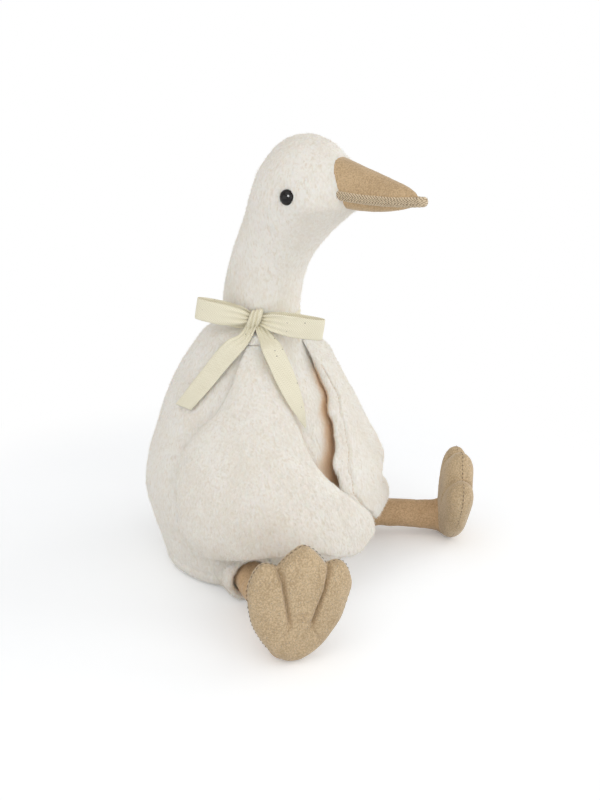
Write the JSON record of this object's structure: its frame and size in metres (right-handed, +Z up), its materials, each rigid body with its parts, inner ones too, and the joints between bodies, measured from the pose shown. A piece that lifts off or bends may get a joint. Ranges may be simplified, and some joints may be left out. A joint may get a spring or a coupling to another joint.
{
  "type": "plush goose",
  "caption": "Soft stuffed goose sitting upright with long neck, pointed bill, draped wings, outstretched legs with webbed feet, and a ribbon bow round the neck.",
  "frame": {"origin": "on the floor, at the centre of the round flat seat", "axes": "+Z up to the crown, bill towards -Y, the goose's own left towards +X"},
  "size_m": [0.2807, 0.2428, 0.3323],
  "materials": {
    "cream_fur": "short pile faux fur",
    "tan_velvet": "velveteen",
    "ivory_tape": "herringbone twill tape",
    "black_plastic": "polished"
  },
  "bodies": {
    "root": {"body": "cream_fur", "right_wing": "cream_fur", "left_wing": "cream_fur", "right_thigh": "cream_fur", "left_thigh": "cream_fur", "right_leg": "tan_velvet", "left_leg": "tan_velvet", "right_foot": "tan_velvet", "left_foot": "tan_velvet", "upper_bill": "tan_velvet", "lower_bill": "tan_velvet", "mouth_welt": "tan_velvet", "right_eye": "black_plastic", "left_eye": "black_plastic", "right_eye_washer": "black_plastic", "left_eye_washer": "black_plastic", "neck_ribbon": "ivory_tape"}
  },
  "joints": []
}
